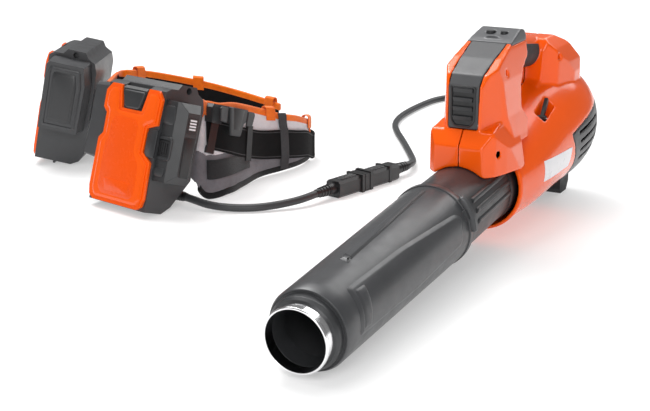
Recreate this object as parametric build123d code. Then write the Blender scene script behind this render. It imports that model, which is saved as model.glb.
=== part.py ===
from build123d import *
import math
import os

# A hand-held battery leaf blower that is fed through a cable from a hip belt with two battery docks.
# Millimetres and degrees. +Y runs from the blower's outlet to its rear, +Z is up, and z = 0 is the floor.
# The last step moves all of it so that the origin is the middle of the bottom of its box, cable and
# connector left out.

# ---- driving dimensions ----
PIPE_RISE = 3.89                 # slope of the blow pipe, rising towards the rear
OUTLET_R = 41.0                  # rolled lip of the metal outlet ring
OUTLET_BORE_R = 38.2
SLEEVE_FRONT, SLEEVE_REAR = 30.0, 390.0
SLEEVE_FRONT_R, SLEEVE_REAR_R = 51.0, 57.0
SLEEVE_BORE_R = 52.2             # where the sleeve slides over the fixed tube
TUBE_R = 53.5                    # fixed tube between the sleeve and the body
TUBE_FRONT, TUBE_REAR = 345.0, 592.0
PIPE_WALL = 2.6
SHELL = 3.0                      # wall of the moulded body
DUCT_R = 58.0                    # bore of the duct at the fan
SHAFT_R = 4.0
SCREW_R = 2.0
PIN_R = 1.5
RUNNING_GAP = 0.05               # radial, between a pin or shaft and its hole
PLAY = 0.4                       # between parts that slide past each other
CABLE_R = 6.25
DOCK_HALF, DOCK_DEPTH = 66.0, 92.0
COVER_THICK = 4.0
PAD_THICK = 11.0
WEBBING_THICK = 2.4
WIDE = 400.0                     # longer than anything it cuts

RISE = math.radians(PIPE_RISE)
# The blower is drawn with the lowest point of its outlet ring at (0, 0, 0), and rests on the sleeve's
# front rim and on its rear foot, a little lower.
PIPE_AXIS = Location((0, 0, OUTLET_R * math.cos(RISE)), (PIPE_RISE, 0, 0))
RIM_STATION, RIM_R = SLEEVE_FRONT + 4, SLEEVE_FRONT_R + 0.6
BLOWER_FLOOR = OUTLET_R * math.cos(RISE) + RIM_STATION * math.sin(RISE) - RIM_R * math.cos(RISE)
BLOWER_PLACE = Pos(17.5, -25.6, -BLOWER_FLOOR)

parts = {}


# ---- small helpers ----
def turned(*outline):
    """A ring about the pipe's axis, from its outline as (radius, station) points."""
    return PIPE_AXIS * revolve(Polygon(*outline, align=None), Axis.Y)


def pipe_rod(radius, front, rear):
    """A solid cylinder on the pipe's axis between two stations."""
    return turned((0, front), (radius, front), (radius, rear), (0, rear))


def block(low, high):
    """A box from its lowest to its highest corner."""
    size = [b - a for a, b in zip(low, high)]
    middle = [(a + b) / 2 for a, b in zip(low, high)]
    return Pos(*middle) * Box(*size)


def rod(start, end, radius):
    """A cylinder from one point to another."""
    axis = Vector(end) - Vector(start)
    return extrude(Plane(origin=start, z_dir=axis) * Circle(radius), axis.length)


def side_prism(points, half=WIDE / 2, inset=0.0, rounding=0.0):
    """A (y, z) outline, extruded both ways along X."""
    return extrude(Plane.YZ * smooth(points, inset, rounding), half, both=True)


def front_prism(points, inset=0.0, rounding=0.0):
    """An (x, z) outline, extruded from far in front to far behind."""
    return extrude(Plane.XZ * smooth(points, inset, rounding), 4 * WIDE, both=True)


def plan_prism(points, inset=0.0, rounding=0.0):
    """An (x, y) outline, extruded from far below to far above."""
    return extrude(Plane.XY * smooth(points, inset, rounding), 2 * WIDE, both=True)


def smooth(points, inset, rounding):
    face = Polygon(*points, align=None)
    total = inset + rounding
    if total:
        face = offset(face, -total, kind=Kind.INTERSECTION)
    if rounding:
        face = offset(face, rounding, kind=Kind.ARC)
    return face


def mirrored(half_outline):
    """A whole outline from its half with x > 0, listed from the bottom or front upwards."""
    return list(half_outline) + [(-x, v) for x, v in reversed(half_outline)]


# ---- blower: outer volumes ----
BELLY = [                        # y, centre height, half width, half height
    (558, 80, 67, 67),
    (604, 88, 74, 71),
    (700, 104, 84, 84),
    (796, 119, 91, 97),
    (850, 121, 89, 96),
    (895, 121, 73, 82),
    (920, 121, 48, 56),
]
NOSE_SIDE = [(474, 114), (472, 157), (487, 177), (520, 184), (572, 176), (572, 114)]
NOSE_FRONT = mirrored([(68, 100), (59, 150), (45, 178), (41, 200)])
NOSE_PLAN = mirrored([(33, 470), (49, 490), (57, 514), (64, 545), (70, 580)])
PILLAR_SIDE = [
    (487, 150), (487, 238), (500, 254), (538, 271), (594, 291), (630, 301),
    (648, 298), (642, 262), (614, 246), (600, 225), (598, 195), (625, 165), (625, 150),
]
PILLAR_FRONT = mirrored([(66, 120), (55, 158), (48, 190), (43, 241), (33, 288), (29, 304)])
PILLAR_PLAN = mirrored([(25, 485), (42, 526), (54, 548), (60, 575), (58, 600), (34, 655)])
SHOULDER_SIDE = [
    (742, 205), (744, 250), (752, 269), (796, 269), (826, 257), (852, 228), (872, 196),
    (895, 160), (895, 100), (700, 100), (700, 170),
]
SHOULDER_FRONT = mirrored([(84, 100), (76, 165), (61, 206), (55, 230), (44, 252), (31, 265), (22, 274)])
SHOULDER_PLAN = mirrored([(20, 690), (27, 742), (48, 764), (60, 812), (60, 840), (46, 880), (20, 902)])
SIDE_ROUNDING, FRONT_ROUNDING, PLAN_ROUNDING = 7.0, 9.0, 9.0
HANDLE = [(592, 270, 22, 25), (690, 257, 21, 25), (800, 244, 24, 24)]


def lofted(stations, inset):
    """A body of ellipses across Y, drawn in by the inset on every side."""
    first, last = stations[0][0], stations[-1][0]
    sections = []
    for y, height, half_width, half_height in stations:
        y_in = y + inset if y == first else y - inset if y == last else y
        plane = Plane(origin=(0, y_in, height), x_dir=(1, 0, 0), z_dir=(0, 1, 0))
        sections.append(plane * Ellipse(half_width - inset, half_height - inset))
    return loft(sections)


def moulded(side, front, plan, inset):
    """The common volume of a side, a front and a plan outline."""
    return (side_prism(side, inset=inset, rounding=SIDE_ROUNDING) & front_prism(front, inset, FRONT_ROUNDING)
            & plan_prism(plan, inset, PLAN_ROUNDING))


def body_volume(inset):
    """The blower's outer form, or the room inside it."""
    volume = lofted(BELLY, inset)
    volume += moulded(NOSE_SIDE, NOSE_FRONT, NOSE_PLAN, inset)
    volume += moulded(PILLAR_SIDE, PILLAR_FRONT, PILLAR_PLAN, inset)
    volume += moulded(SHOULDER_SIDE, SHOULDER_FRONT, SHOULDER_PLAN, inset)
    volume += lofted(HANDLE, inset)
    return volume


# ---- blower: pipe ----
def make_pipe():
    parts["outlet_ring"] = turned(
        (OUTLET_BORE_R, 0), (40, 0), (OUTLET_R, 1.2), (OUTLET_R, 4), (40, 5.5), (40, 17), (OUTLET_BORE_R, 17))
    parts["outlet_collar"] = turned(
        (OUTLET_BORE_R, 17), (42.5, 17), (45.5, 21), (45.5, 30), (48.2, 30), (48.2, 46), (OUTLET_BORE_R, 46))
    sleeve = turned(
        (48.2, SLEEVE_FRONT), (SLEEVE_FRONT_R - 1, SLEEVE_FRONT), (SLEEVE_FRONT_R + 0.6, SLEEVE_FRONT + 4),
        (SLEEVE_REAR_R, SLEEVE_REAR - 12), (SLEEVE_REAR_R, SLEEVE_REAR), (SLEEVE_BORE_R, SLEEVE_REAR),
        (SLEEVE_BORE_R, TUBE_FRONT - 2), (50.4, TUBE_FRONT - 6), (47.2, 60), (45.5, 46), (48.2, 46))
    wedge = [(-3, 128), (9, 122), (1, 362), (-5, 362)]
    crest = PIPE_AXIS * extrude(Polygon(*wedge, align=None), 58.4)
    catch = PIPE_AXIS * Rot(0, 64, 0) * block((-7, SLEEVE_REAR - 16, 50), (7, SLEEVE_REAR + 3, 60.5))
    core = pipe_rod(SLEEVE_FRONT_R - 0.5, SLEEVE_FRONT, SLEEVE_REAR + 4)
    core += pipe_rod(SLEEVE_BORE_R, TUBE_FRONT - 6, SLEEVE_REAR + 4)
    hood = turned((0, 60), (53.2, 60), (59.6, 375), (0, 375))
    raised = (crest & hood) - core
    tube_room = pipe_rod(TUBE_R + PLAY, SLEEVE_REAR - 30, SLEEVE_REAR + 20)
    parts["blow_tube"] = sleeve + raised + (catch - core - tube_room)
    tube = turned(
        (TUBE_R - 4.2, TUBE_FRONT), (TUBE_R - 1.7, TUBE_FRONT), (TUBE_R - 1.7, SLEEVE_REAR + 0.4),
        (TUBE_R, SLEEVE_REAR + 0.4), (TUBE_R, TUBE_REAR), (TUBE_R - 4.2, TUBE_REAR))
    for turn in (48, 64, 80):
        groove = PIPE_AXIS * Rot(0, turn, 0) * block((TUBE_R - 1.6, 418, -3), (TUBE_R + 5, 545, 3))
        tube -= groove
    parts["intermediate_tube"] = tube


# ---- blower: duct, fan and motor, all on the pipe's axis ----
FAN_FRONT, FAN_REAR = 705.0, 748.0
HUB_R, CAN_R = 24.0, 25.0
MOTOR_FRONT, MOTOR_REAR = 612.0, 690.0


def blade(radius_in, radius_out, front, rear, pitch, thick):
    """A flat blade that stands out from the axis along Z, turned by its pitch about that direction."""
    length = rear - front
    plate = Box(thick, length, radius_out - radius_in)
    return Pos(0, (front + rear) / 2, (radius_in + radius_out) / 2) * Rot(0, 0, pitch) * plate


def make_drive():
    wall = PIPE_WALL
    duct = turned(
        (TUBE_R - 4.2, TUBE_REAR + 0.2), (TUBE_R, TUBE_REAR + 0.2), (DUCT_R + wall, 625), (DUCT_R + wall, 765),
        (DUCT_R + 8, 800), (DUCT_R + 8, 803), (DUCT_R + 5, 803), (DUCT_R, 765), (DUCT_R, 625))
    parts["fan_duct"] = duct
    ring = turned((CAN_R, 632), (CAN_R + 2.2, 632), (CAN_R + 2.2, 682), (CAN_R, 682))
    vanes = [Rot(0, 360 / 7 * k, 0) * blade(CAN_R + 1.5, DUCT_R + 2, 636, 678, 14, 2.2) for k in range(7)]
    room = turned((CAN_R, 630), (DUCT_R, 630), (DUCT_R, 684), (CAN_R, 684))
    stator = ring
    for vane in vanes:
        stator += (PIPE_AXIS * vane) & room
    parts["guide_vanes"] = stator
    motor = turned(
        (SHAFT_R + 4.5, MOTOR_FRONT + 6), (14, MOTOR_FRONT), (CAN_R, MOTOR_FRONT + 16), (CAN_R, MOTOR_REAR),
        (SHAFT_R + 4.5, MOTOR_REAR))
    parts["motor_can"] = motor
    bearings = []
    for start in (MOTOR_FRONT + 8, MOTOR_REAR - 9):
        end = start + 7
        inside, outside = SHAFT_R + RUNNING_GAP, SHAFT_R + 4.5
        bearings.append(turned((inside, start), (outside, start), (outside, end), (inside, end)))
    parts["bearings"] = Compound(children=bearings)
    parts["rotor_shaft"] = pipe_rod(SHAFT_R, MOTOR_FRONT + 6, FAN_REAR - 4)
    hub = turned(
        (SHAFT_R, FAN_FRONT), (HUB_R, FAN_FRONT), (HUB_R, FAN_REAR - 10), (12, FAN_REAR), (0, FAN_REAR + 2),
        (0, FAN_REAR - 4), (SHAFT_R, FAN_REAR - 4))
    swept = turned((HUB_R - 1, FAN_FRONT), (DUCT_R - 1.2, FAN_FRONT), (DUCT_R - 1.2, FAN_REAR - 10),
                   (HUB_R - 1, FAN_REAR - 10))
    fan = hub
    for k in range(9):
        wing = PIPE_AXIS * Rot(0, 40 * k, 0) * blade(HUB_R - 2, DUCT_R + 3, FAN_FRONT - 4, FAN_REAR, -38, 2.4)
        fan += wing & swept
    parts["impeller"] = fan


# ---- blower: body ----
GRILLE = mirrored([(22, 179), (22.5, 240), (28, 300)])
GRILLE_REAR = 582.0
REAR_ZONE = [(735, 127), (862, 157), (990, 180), (990, -20), (800, -20), (764, 76)]
SCREWS = [(38, 548, 250), (47, 768, 240), (40, 497, 146)]      # right-hand head: x, y, z
TRIGGER_PIN = (650.0, 247.0)
LEVER_PIN = (690.0, 158.0)
LEVER_ROOM = ((41, 677, 148), (57, 722, 200))
INLET = (-20.0, 920.0, 118.0)
LABEL = ((20, 627, 78), (120, 731, 109))


def foot_block():
    low = BLOWER_FLOOR
    outline = [(864, low + 8), (870, low), (900, low), (910, low + 14), (906, 60), (864, 60)]
    return side_prism(outline, half=30) - lofted(BELLY, 0)


def louvres():
    """Slots through the front insert, one above the other."""
    return [block((-15, 460, z - 3), (15, 510, z + 3)) for z in (192, 205, 218, 231)]


def intake_slots():
    """Slots in the rear cover, rising towards the rear on both sides."""
    slots = []
    for side in (-1, 1):
        for row in range(4):
            height = 72 + 15 * row
            start = 782 - 6 * row
            slot = Pos(side * 80, start + 40, height + 14) * Rot(9, 0, 0) * Box(70, 84, 3.9)
            slots.append(slot)
    return slots


def trigger_outline():
    return [
        (643, 250), (648, 255), (655, 254), (704, 250), (707, 243), (692, 232), (672, 224), (657, 228), (644, 241),
    ]


def make_body():
    outer = body_volume(0)
    inner = body_volume(SHELL)
    shell = outer - inner
    pin_y, pin_z = TRIGGER_PIN
    # bosses and the lever's pocket are added before anything is cut
    shell += rod((-30, 548, 250), (38, 548, 250), 6) & outer
    shell += rod((-47, 768, 240), (47, 768, 240), 6) & outer
    shell += rod((-40, 497, 146), (40, 497, 146), 6) & outer
    shell += rod((-14, pin_y, pin_z), (14, pin_y, pin_z), 5) & outer
    low, high = LEVER_ROOM
    tub = block([v - 2.4 for v in low], [v + 2.4 for v in high])
    shell += tub & outer
    shell -= block(low, high)
    # the pipe, the duct and their clearance
    shell -= pipe_rod(TUBE_R + 0.3, 400, TUBE_REAR)
    shell -= pipe_rod(60.5, 532, 590) & side_prism([(500, -50), (620, -50), (620, 119), (500, 119)])
    shell -= pipe_rod(DUCT_R + 8.5, TUBE_REAR, 806) & lofted(BELLY, SHELL)
    shell -= pipe_rod(TUBE_R, TUBE_REAR, 640)
    # trigger slot, and the pocket for its upper edge
    shell -= block((-8, 641, 225), (8, 712, 266))
    # screws with their recesses
    for x, y, z in SCREWS:
        shell -= rod((x - 14, y, z), (x + 60, y, z), 4.6)
        shell -= rod((-24, y, z), (x + 10, y, z), SCREW_R + RUNNING_GAP)
    shell -= rod((-11, pin_y, pin_z), (11, pin_y, pin_z), PIN_R + RUNNING_GAP)
    lever_y, lever_z = LEVER_PIN
    shell -= rod((low[0] - 2, lever_y, lever_z), (high[0] + 2, lever_y, lever_z), PIN_R + RUNNING_GAP)
    # front insert, cap and rear cover are cut out of the same shell
    front_zone = front_prism(GRILLE) & side_prism([(400, 178), (GRILLE_REAR, 178), (GRILLE_REAR, 330), (400, 330)])
    insert = shell & front_zone
    for slot in louvres():
        insert -= slot
    parts["front_grille"] = insert
    cap_zone = side_prism([(GRILLE_REAR, 283), (662, 283), (662, 330), (GRILLE_REAR, 330)], half=40)
    cap = shell & cap_zone
    rear_zone = side_prism(REAR_ZONE)
    cover = shell & rear_zone
    for slot in intake_slots():
        cover -= slot
    inlet_hole = rod((INLET[0], INLET[1] - 30, INLET[2]), (INLET[0], INLET[1] + 30, INLET[2]), 9.0)
    parts["intake_cover"] = cover - inlet_hole
    shell = shell - front_zone - cap_zone - rear_zone
    right = shell & block((0, 300, -100), (WIDE, 1100, 500))
    left = shell & block((-WIDE, 300, -100), (0, 1100, 500))
    parts["housing_right"] = largest(right)
    parts["housing_left"] = largest(left)
    make_cap(cap)
    parts["front_grille"] = largest(parts["front_grille"])
    parts["intake_cover"] = largest(parts["intake_cover"])
    parts["rear_foot"] = foot_block()
    plate = (lofted(BELLY, -0.6) - lofted(BELLY, 0)) & block(*LABEL)
    parts["rating_plate"] = plate


def largest(shape):
    """The biggest solid of a cut, without crumbs."""
    return max(shape.solids(), key=lambda solid: solid.volume)


def make_cap(cap):
    """The cap on the front pillar with two push buttons in it."""
    for name, x, radius in (("power_button", -9, 6.5), ("mode_button", 11, 5.0)):
        cap -= rod((x, 613, 280), (x, 613, 320), radius + PLAY)
        parts[name] = rod((x, 613, 291.5), (x, 613, 298.4), radius)
    parts["top_cap"] = largest(cap)


def make_handle_parts():
    grown = [(y, z, w + 1.6, h + 1.6) for y, z, w, h in HANDLE]
    skin = lofted(grown, 0) - lofted(HANDLE, 0)
    zone = side_prism([(655, 205), (741, 205), (741, 262), (655, 274)])
    slot = block((-9, 630, 215), (9, 714, 256))
    grip = (skin & zone) - slot - body_minus_handle()
    parts["handle_grip"] = largest(grip)
    pin_y, pin_z = TRIGGER_PIN
    trigger = extrude(Plane.YZ * smooth(trigger_outline(), 0, 1.5), 6.5, both=True)
    parts["trigger"] = trigger - rod((-9, pin_y, pin_z), (9, pin_y, pin_z), PIN_R + RUNNING_GAP)
    parts["trigger_pin"] = rod((-11, pin_y, pin_z), (11, pin_y, pin_z), PIN_R)
    lever_y, lever_z = LEVER_PIN
    low, high = LEVER_ROOM
    hub = rod((low[0] + 2, lever_y, lever_z), (high[0] - 2, lever_y, lever_z), 5)
    arm = side_prism([(686, 160), (694, 158), (711, 182), (706, 187)], half=2.6)
    middle = (low[0] + high[0]) / 2
    lever = hub + Pos(middle, 0, 0) * arm
    parts["cruise_lever"] = lever - rod((0, lever_y, lever_z), (90, lever_y, lever_z), PIN_R + RUNNING_GAP)
    parts["cruise_pin"] = rod((low[0] - 2, lever_y, lever_z), (high[0] + 2, lever_y, lever_z), PIN_R)


def body_minus_handle():
    """The pillar and the shoulder, which the grip ends against."""
    return (moulded(PILLAR_SIDE, PILLAR_FRONT, PILLAR_PLAN, -0.3)
            + moulded(SHOULDER_SIDE, SHOULDER_FRONT, SHOULDER_PLAN, -0.3))


def make_small_parts():
    board = block((-26, 566, 196), (26, 568, 252))
    for x, z in ((-14, 212), (2, 212), (14, 234)):
        board += rod((x, 552, z), (x, 566, z), 5)
    board += block((-20, 553, 228), (4, 566, 248))
    parts["control_board"] = board
    screws = []
    for x, y, z in SCREWS:
        shank = rod((-20, y, z), (x - 14, y, z), SCREW_R)
        head = rod((x - 14, y, z), (x - 11, y, z), 3.8)
        screws.append(shank + head)
    parts["housing_screws"] = Compound(children=screws)
    x, y, z = INLET
    gland = rod((x, y - 14, z), (x, y, z), 8.8) + rod((x, y, z), (x, y + 4, z), 12)
    parts["cable_inlet"] = gland + rod((x, y + 4, z), (x, y + 20, z), 9)
    for name in parts:
        parts[name] = BLOWER_PLACE * parts[name]


# ---- docks ----
def dock_location(origin, normal, up):
    """Where a dock stands: its local -Y is the cover's normal and its local Z runs up the cover."""
    back = Vector(*normal) * -1
    side = back.cross(Vector(*up)).normalized()
    return Location(Plane(origin=origin, x_dir=side, z_dir=side.cross(back)))


FRONT_DOCK = dock_location((-551, 415, 11.8), (-0.217, -0.931, 0.295), (0.067, 0.287, 0.956))
SIDE_DOCK = dock_location((-886, 651, 15), (-0.90, -0.386, 0.201), (0.185, 0.079, 0.98))

DOCK_SIDE = [
    (COVER_THICK, 0), (40, 0), (58, 12), (DOCK_DEPTH, 58), (DOCK_DEPTH, 174), (87, 190), (74, 197), (68, 207),
    (36, 207), (29, 198), (14, 197), (COVER_THICK, 191),
]
COVER = [
    (-67, 22), (-64, 8), (-54, 1), (50, 1), (60, 7), (64, 20), (62, 78), (42, 92), (43, 130), (64, 137),
    (66, 178), (55, 191),
    (32, 191), (23, 154), (-23, 154), (-32, 191), (-54, 191), (-66, 178), (-66, 150), (-57, 142), (-57, 109),
    (-66, 100),
]
FULL_BASE = [                    # of the upright dock, up to the underside of its battery
    (30, 0), (70, 0), (84, 8), (DOCK_DEPTH, 24), (DOCK_DEPTH, 60), (62, 60), (62, 51), (30, 51),
]
BULGE = [(8, 64), (84, 64), (87, 156), (80, 192), (14, 192), (8, 184)]
BULGE_THICK = 40.0
BATTERY_FRONT, BATTERY_REAR, BATTERY_LOW, BATTERY_TOP = 9.0, 59.0, 52.0, 180.0
BAY = ((-6, BATTERY_FRONT - PLAY, BATTERY_LOW - PLAY), (90, BATTERY_REAR + PLAY, BATTERY_TOP + PLAY))
BATTERY_END = 106.0
BUTTON_ROOM = ((67, 91), (92, 118))                           # x, z corners
LATCH_Y, LATCH_Z = 8.0, 187.4
LATCH_FACE = [(18.5, 157), (27, 182), (27, 194), (-27, 194), (-27, 182), (-18.5, 157)]


def make_dock(name, place, flip):
    """One dock with its battery. A flipped dock has its battery on the other side."""
    pieces = dock_pieces()
    for piece, solid in pieces.items():
        if flip:
            solid = mirror(solid, Plane.YZ)
        if flip and piece == "housing":
            solid = solid + side_prism(FULL_BASE, half=DOCK_HALF) + feet()
        parts[name + "_" + piece] = place * solid


def feet():
    """The short ribs under the dock that stands upright."""
    ribs = [block((x, 36, -6.8), (x + 3, 40, 0)) for x in (38, 46, 54)]
    return Compound(children=ribs)


def dock_pieces():
    pieces = {}
    body = side_prism(DOCK_SIDE, half=DOCK_HALF)
    body += extrude(Plane.YZ.offset(-DOCK_HALF) * smooth(BULGE, 0, 6), -BULGE_THICK, taper=5)
    body -= block(*BAY)
    body -= block((-96, 18, 76), (-12, 74, 170))
    for side in (-1, 1):
        hexagon = Plane.YZ.offset(side * DOCK_HALF) * Pos(52, 199) * RegularPolygon(6.0, 6)
        body -= extrude(hexagon, 10, both=True)
    body -= block((-28.5, -5, LATCH_Z - 6), (28.5, 13, 210))
    body -= rod((-32, LATCH_Y, LATCH_Z), (32, LATCH_Y, LATCH_Z), PIN_R + RUNNING_GAP)
    pieces["housing"] = body
    cover = extrude(Plane.XZ * smooth(COVER, 0, 1.5), -COVER_THICK)
    front = extrude(Plane.XZ * smooth(COVER, 5, 1.5), 1.2)
    pieces["cover"] = cover + front
    low, hub_r = LATCH_FACE[0][1], 3.4
    tongue = side_prism([
        (0.4, low), (3.6, low), (3.6, LATCH_Z - 5), (LATCH_Y, LATCH_Z - hub_r), (LATCH_Y, LATCH_Z + hub_r),
        (4.4, LATCH_Z + hub_r), (0.4, LATCH_Z - 1)])
    tongue = tongue & extrude(Plane.XZ * Polygon(*LATCH_FACE, align=None), 20, both=True)
    tongue += rod((-27, LATCH_Y, LATCH_Z), (27, LATCH_Y, LATCH_Z), hub_r)
    pieces["latch"] = tongue + rod((-31.5, LATCH_Y, LATCH_Z), (31.5, LATCH_Y, LATCH_Z), PIN_R)
    pieces["bracket"] = belt_bracket()
    base = block((-6, 23, 92), (-2.6, 45, 142))
    for z in range(98, 139, 10):
        base += block((-2.6, 27, z), (13, 41, z + 1.6))
    pieces["contacts"] = base
    pieces.update(battery_pieces())
    return pieces


def belt_bracket():
    """The clip that carries the dock: a hexagonal frame, open towards the dock by a V channel."""
    frame = extrude(Plane.XZ.offset(-DOCK_DEPTH) * Polygon(
        (-20, 72), (20, 72), (34, 88), (34, 118), (20, 134), (-20, 134), (-34, 118), (-34, 88), align=None), -11.5)
    channel = extrude(Plane.XZ.offset(-DOCK_DEPTH) * Polygon(
        (-6, 80), (6, 80), (14, 136), (-14, 136), align=None), -3.6)
    return frame - channel


def battery_pieces():
    pieces = {}
    end, front, rear, top = BATTERY_END, BATTERY_FRONT, BATTERY_REAR, BATTERY_TOP
    middle = (front + rear) / 2
    plan = Polygon((-2, front), (end - 15, front), (end, front + 12), (end, rear - 12), (end - 15, rear), (-2, rear),
                   align=None)
    face = Polygon((-2, BATTERY_LOW), (end - 14, BATTERY_LOW), (end, BATTERY_LOW + 14), (end, top - 14),
                   (end - 12, top), (-2, top), align=None)
    case = extrude(plan, 300) & extrude(Plane.XZ * face, -300)
    case -= block((-3, middle - 12, 91), (20, middle + 12, 143))
    (x0, z0), (x1, z1) = BUTTON_ROOM
    depth = 11.0
    case -= block((x0, front - 1, z0), (x1, front + depth, z1))
    case -= block((x0, rear - depth, z0), (x1, rear + 1, z1))
    case -= block((end - 1, middle - 10, 134), (end + 1, middle + 10, 160))
    pieces["battery_case"] = case
    button = block((x0 + PLAY, front - 1, z0 + PLAY), (x1 - PLAY, front + 6, z1 - PLAY))
    for x in range(70, 88, 5):
        button -= block((x, front - 2, z0 + 4), (x + 2, front + 0.2, z1 - 4))
    pieces["battery_front_button"] = button
    pieces["battery_rear_button"] = mirror(button, Plane.XZ.offset(-middle))
    pieces["battery_gauge"] = block((end - 1, middle - 10, 134), (end + 0.4, middle + 10, 160))
    return pieces


# ---- belt ----
# Each station of a strip: plan position of its lower edge, of its upper edge, and the two heights.
def station(low_xy, high_xy, low, high):
    return Vector(*low_xy, low), Vector(*high_xy, high)


def dock_station(place, x, low, high, depth=DOCK_DEPTH + 11.9 + PAD_THICK / 2):
    """A station behind a dock, in the dock's own frame."""
    points = [place * Pos(x, depth, z) for z in (low, high)]
    return points[0].position, points[1].position


NEAR_PAD = [
    dock_station(FRONT_DOCK, -52, 66, 158),
    dock_station(FRONT_DOCK, 40, 62, 166),
    station((-460, 542), (-474, 566), 2, 157),
    station((-441, 582), (-464, 594), 2, 150),
    station((-443, 632), (-461, 640), 2, 142),
    station((-446, 695), (-453, 697), 3, 124),
    station((-431, 748), (-435, 748), 4, 105),
    station((-424, 785), (-427, 786), 4, 95),
    station((-424, 815), (-426, 816), 4, 85),
    station((-431, 845), (-432, 846), 3, 75),
]
FAR_PAD = [
    station((-512, 886), (-512, 885), 12, 88),
    station((-552, 891), (-551, 889), 9, 95),
    station((-602, 884), (-600, 879), 6, 107),
    station((-652, 866), (-648, 860), 3, 120),
    station((-700, 838), (-694, 826), 2, 134),
    station((-742, 790), (-735, 782), 2, 148),
    station((-756, 730), (-745, 728), 2, 158),
    dock_station(SIDE_DOCK, -36, 12, 160),
    dock_station(SIDE_DOCK, 40, 16, 158),
]


def outward_at(stations, index):
    """The level direction out of the ring at a station."""
    before = stations[max(index - 1, 0)][0]
    after = stations[min(index + 1, len(stations) - 1)][0]
    return Vector(after.Y - before.Y, before.X - after.X, 0).normalized()


def strip(stations, thick):
    """A band that follows the stations, a few of them at a time."""
    sections = []
    for index, (bottom, top) in enumerate(stations):
        half = outward_at(stations, index) * (thick / 2)
        sections.append(make_face(Polyline(bottom - half, bottom + half, top + half, top - half, close=True)))
    stretches = [loft(sections[first:first + 4], ruled=True) for first in range(0, len(sections) - 1, 3)]
    return Solid.fuse(*stretches) if len(stretches) > 1 else stretches[0]


def rail(stations, first, spans, shift):
    """Stations on the pad's outer face, each between two fractions of the pad's height."""
    moved = []
    for index, (low, high) in enumerate(spans, start=first):
        bottom, top = stations[index]
        outward = outward_at(stations, index) * shift
        rise = top - bottom
        moved.append((bottom + rise * low + outward, bottom + rise * high + outward))
    return moved


# The webbing lies on the outside of the near pad, turns round its end and goes back along the outside
# of the far pad.
WEBBING_OUT = PAD_THICK / 2 + WEBBING_THICK / 2 + 0.6
NEAR_SPANS = [
    (0.52, 0.84), (0.45, 0.79), (0.35, 0.72), (0.26, 0.68), (0.22, 0.73), (0.17, 0.72), (0.12, 0.725), (0, 0.66),
]
FAR_SPANS = [(0.03, 0.62), (0.18, 0.72), (0.27, 0.75), (0.33, 0.74), (0.36, 0.73), (0.38, 0.71), (0.40, 0.70)]
FOLD = [
    station((-425, 857), (-425, 857), 3, 49),
    station((-434, 871), (-434, 871), 4, 49),
    station((-455, 883), (-455, 883), 6, 51),
    station((-484, 891), (-484, 891), 10, 55),
]
WEBBING = rail(NEAR_PAD, 2, NEAR_SPANS, WEBBING_OUT) + FOLD + rail(FAR_PAD, 0, FAR_SPANS, WEBBING_OUT)
NEAR_AXIS = Plane(origin=(-455.5, 606, 113), x_dir=(0.015, 0.957, -0.29), z_dir=(1, -0.04, 0))
BUCKLE = Plane(origin=(-668, 541, 78), x_dir=(0.80, -0.60, -0.05), z_dir=(-0.60, -0.80, 0))


def make_belt():
    parts["belt_pad_near"] = strip(NEAR_PAD, PAD_THICK)
    parts["belt_pad_far"] = strip(FAR_PAD, PAD_THICK)
    parts["belt_webbing"] = strip(WEBBING, WEBBING_THICK)
    parts["webbing_keepers"] = Compound(children=[keeper(0, 0.3), keeper(2, 0.3)])
    near_room = strip(NEAR_PAD, PAD_THICK + PLAY)
    loops = [loop_at(NEAR_PAD, where) - near_room for where in (1.7, 5.5, 8.6)]
    loops += [loop_at(FAR_PAD, where) for where in (0.6, 3.4, 5.35)]
    parts["belt_loops"] = Compound(children=[largest(loop) for loop in loops])
    holder = Polygon((-52, 16), (52, 16), (56, 10), (52, -14), (24, -16), (17, -34), (-17, -34), (-24, -16),
                     (-52, -14), (-56, 10), align=None)
    channel = Polygon((-15, 20), (15, 20), (9, -26), (-9, -26), align=None)
    bracket = extrude(NEAR_AXIS.offset(4.0) * Pos(0, 14) * holder, 14)
    bracket -= extrude(NEAR_AXIS.offset(14.4) * Pos(0, 14) * channel, 4)
    keeper_room = keeper_block(0, 0.3, PLAY)
    parts["accessory_bracket"] = largest(bracket - grown_pad() - webbing_room() - keeper_room)
    make_buckle()


def grown_pad():
    return strip(NEAR_PAD, PAD_THICK + 0.6)


def webbing_room():
    return strip(WEBBING, WEBBING_THICK + 2 * PLAY)


def between(stations, where):
    """Lower and upper edge points, and the run's direction, at a fractional station number."""
    index = int(where)
    part = where - index
    (low_a, high_a), (low_b, high_b) = stations[index], stations[index + 1]
    return low_a + (low_b - low_a) * part, high_a + (high_b - high_a) * part, (high_b - high_a).normalized()


def keeper_block(index, part, margin=0.0):
    """The block that a keeper is cut from."""
    bottom, top, run = between(WEBBING, index + part)
    lean = (top - bottom).normalized()
    plane = Plane(origin=(bottom + top) * 0.5, x_dir=run, z_dir=run.cross(lean))
    return plane * Box(15 + 2 * margin, 60 + 2 * margin, WEBBING_THICK + 4.4 + 2 * margin)


def keeper(index, part):
    """A flat loop round the webbing."""
    return largest(keeper_block(index, part) - webbing_room() - grown_pad())


def loop_at(stations, where):
    """A small flat loop that stands on the pad's upper edge."""
    _, top, run = between(stations, where)
    plane = Plane(origin=top, x_dir=run, z_dir=Vector(run.Y, -run.X, 0))
    outer = plane * Pos(0, 4.4) * Box(20, 7.6, 14)
    inner = plane * Pos(0, 2.8) * Box(22, 4.0, 10)
    return outer - inner


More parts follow.
